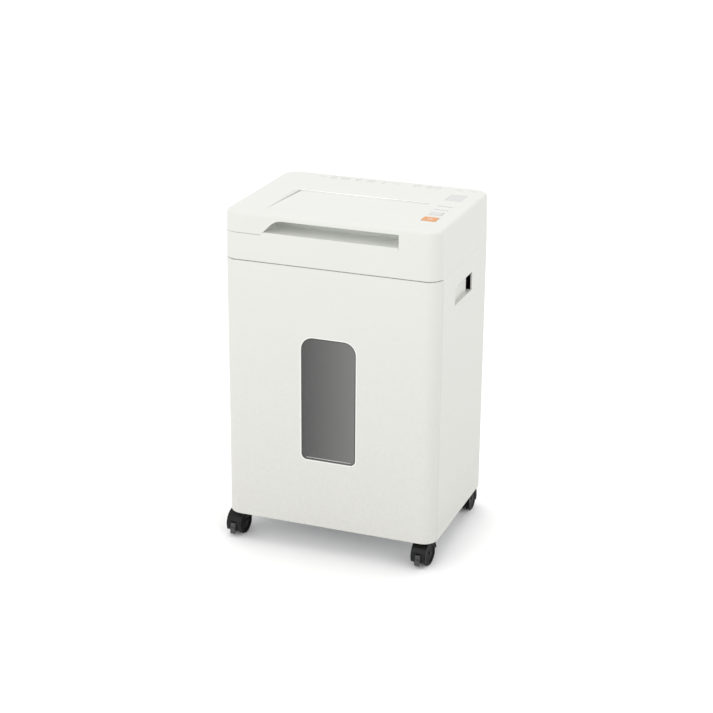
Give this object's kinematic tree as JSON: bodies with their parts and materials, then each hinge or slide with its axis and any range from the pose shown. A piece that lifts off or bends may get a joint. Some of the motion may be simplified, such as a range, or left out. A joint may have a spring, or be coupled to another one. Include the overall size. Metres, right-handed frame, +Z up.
{
  "type": "paper shredder",
  "caption": "Free-standing office paper shredder with a front feed slot, top controls, a windowed pull-out bin and swivel casters.",
  "frame": {"origin": "on the floor, under the middle of the cabinet", "axes": "+Z up, the front with the feed slot and drawer faces -Y, +X to the right of a person in front"},
  "size_m": [0.3554, 0.2694, 0.5514],
  "materials": {
    "shell_white": "fine satin moulded texture",
    "bin_grey": "satin moulded",
    "guide_grey": "satin moulded",
    "smoked_pane": "clear smoked polycarbonate",
    "panel_lens": "glossy window",
    "key_orange": "satin",
    "key_grey": "satin",
    "black_plastic": "satin moulded",
    "plated_steel": "zinc plated sheet",
    "cutter_steel": "hardened and oiled",
    "bush_bronze": "sintered bronze",
    "gear_nylon": "natural nylon",
    "motor_case": "dark lacquer",
    "board_green": "solder mask",
    "magnet": "sintered ferrite",
    "caster_black": "moulded nylon",
    "wheel_black": "moulded nylon",
    "brake_grey": "moulded nylon"
  },
  "bodies": {
    "cabinet": {"cabinet_shell": "shell_white", "base_plate": "plated_steel", "caster_sockets": "black_plastic", "left_rail": "black_plastic", "right_rail": "black_plastic", "head_deck": "plated_steel", "left_grip_cup": "shell_white", "right_grip_cup": "shell_white", "upper_housing": "shell_white", "top_cover": "shell_white", "feed_guide": "guide_grey", "paper_sensor": "black_plastic", "rear_vent": "black_plastic", "power_inlet": "black_plastic", "inlet_pins": "bush_bronze", "left_frame_plate": "plated_steel", "right_frame_plate": "plated_steel", "frame_screws": "plated_steel", "tie_rods": "plated_steel", "cutter_bushes": "bush_bronze", "front_stripper": "cutter_steel", "rear_stripper": "cutter_steel", "motor": "motor_case", "gear_guard": "plated_steel", "control_board": "board_green", "board_screws": "plated_steel", "key_switches": "black_plastic", "display_lens": "panel_lens", "status_lenses": "panel_lens", "interlock_switch": "black_plastic", "drawer_magnets": "magnet"},
    "drawer": {"drawer_front": "shell_white", "drawer_bin": "bin_grey", "window_pane": "smoked_pane", "window_bezel": "bin_grey", "magnet_strikers": "plated_steel", "drawer_screws": "plated_steel"},
    "power_key": {"power_button": "key_orange"},
    "reverse_key": {"reverse_button": "key_grey"},
    "lever": {"interlock_lever": "black_plastic"},
    "front_cutter_shaft": {"front_cutter": "cutter_steel", "front_cutter_gear": "cutter_steel"},
    "rear_cutter_shaft": {"rear_cutter": "cutter_steel", "rear_cutter_gear": "cutter_steel"},
    "idler": {"idler_gear": "gear_nylon"},
    "rotor": {"motor_pinion": "cutter_steel"},
    "caster_front_left": {"caster_hood_front_left": "caster_black", "caster_axle_front_left": "plated_steel"},
    "wheels_front_left": {"caster_wheels_front_left": "wheel_black"},
    "brake_front_left": {"brake_tab_front_left": "brake_grey"},
    "caster_front_right": {"caster_hood_front_right": "caster_black", "caster_axle_front_right": "plated_steel"},
    "wheels_front_right": {"caster_wheels_front_right": "wheel_black"},
    "brake_front_right": {"brake_tab_front_right": "brake_grey"},
    "caster_rear_left": {"caster_hood_rear_left": "caster_black", "caster_axle_rear_left": "plated_steel"},
    "wheels_rear_left": {"caster_wheels_rear_left": "wheel_black"},
    "caster_rear_right": {"caster_hood_rear_right": "caster_black", "caster_axle_rear_right": "plated_steel"},
    "wheels_rear_right": {"caster_wheels_rear_right": "wheel_black"}
  },
  "joints": [
    {"name": "drawer_slide", "type": "slide", "parent": "cabinet", "child": "drawer", "axis": [0, -1, 0], "range_m": [0, 0.23]},
    {"name": "power_key_press", "type": "slide", "parent": "cabinet", "child": "power_key", "axis": [0, 0, -1], "range_m": [0, 0.0012], "stiffness_N_per_m": 400, "springref_m": -0.0006},
    {"name": "reverse_key_press", "type": "slide", "parent": "cabinet", "child": "reverse_key", "axis": [0, 0, -1], "range_m": [0, 0.0012], "stiffness_N_per_m": 400, "springref_m": -0.0006},
    {"name": "interlock_lever_pivot", "type": "hinge", "parent": "cabinet", "child": "lever", "pos_m": [0.152, -0.0977, 0.437], "axis": [-1, 0, 0], "range_deg": [0, 12]},
    {"name": "front_cutter_spin", "type": "hinge", "parent": "cabinet", "child": "front_cutter_shaft", "pos_m": [0, -0.0865, 0.482], "axis": [1, 0, 0], "continuous": true},
    {"name": "rear_cutter_spin", "type": "hinge", "parent": "cabinet", "child": "rear_cutter_shaft", "pos_m": [0, -0.0505, 0.482], "axis": [1, 0, 0], "continuous": true},
    {"name": "idler_spin", "type": "hinge", "parent": "cabinet", "child": "idler", "pos_m": [0.13, -0.02243, 0.48695], "axis": [1, 0, 0], "continuous": true},
    {"name": "motor_spin", "type": "hinge", "parent": "cabinet", "child": "rotor", "pos_m": [0.12, 0.01597, 0.48018], "axis": [1, 0, 0], "continuous": true},
    {"name": "caster_front_left_swivel", "type": "hinge", "parent": "cabinet", "child": "caster_front_left", "pos_m": [-0.1645, -0.0905, 0.046], "axis": [0, 0, 1], "continuous": true},
    {"name": "wheels_front_left_roll", "type": "hinge", "parent": "caster_front_left", "child": "wheels_front_left", "pos_m": [-0.16572, -0.10445, 0.019], "axis": [0.9962, -0.0872, 0], "continuous": true},
    {"name": "brake_front_left_press", "type": "hinge", "parent": "caster_front_left", "child": "brake_front_left", "pos_m": [-0.16761, -0.12601, 0.021], "axis": [-0.9962, 0.0872, 0], "range_deg": [0, 15]},
    {"name": "caster_front_right_swivel", "type": "hinge", "parent": "cabinet", "child": "caster_front_right", "pos_m": [0.152, -0.0905, 0.046], "axis": [0, 0, 1], "continuous": true},
    {"name": "wheels_front_right_roll", "type": "hinge", "parent": "caster_front_right", "child": "wheels_front_right", "pos_m": [0.15078, -0.10445, 0.019], "axis": [0.9962, -0.0872, 0], "continuous": true},
    {"name": "brake_front_right_press", "type": "hinge", "parent": "caster_front_right", "child": "brake_front_right", "pos_m": [0.14889, -0.12601, 0.021], "axis": [-0.9962, 0.0872, 0], "range_deg": [0, 15]},
    {"name": "caster_rear_left_swivel", "type": "hinge", "parent": "cabinet", "child": "caster_rear_left", "pos_m": [-0.1645, 0.101, 0.046], "axis": [0, 0, 1], "continuous": true},
    {"name": "wheels_rear_left_roll", "type": "hinge", "parent": "caster_rear_left", "child": "wheels_rear_left", "pos_m": [-0.1645, 0.115, 0.019], "axis": [1, 0, 0], "continuous": true},
    {"name": "caster_rear_right_swivel", "type": "hinge", "parent": "cabinet", "child": "caster_rear_right", "pos_m": [0.152, 0.101, 0.046], "axis": [0, 0, 1], "continuous": true},
    {"name": "wheels_rear_right_roll", "type": "hinge", "parent": "caster_rear_right", "child": "wheels_rear_right", "pos_m": [0.152, 0.115, 0.019], "axis": [1, 0, 0], "continuous": true}
  ],
  "couplings": [
    {"joint": "interlock_lever_pivot", "follows": "drawer_slide", "rad_per_m": 0.91},
    {"joint": "rear_cutter_spin", "follows": "front_cutter_spin", "ratio": -1},
    {"joint": "idler_spin", "follows": "front_cutter_spin", "ratio": 1.7143},
    {"joint": "motor_spin", "follows": "front_cutter_spin", "ratio": -5.7143}
  ]
}
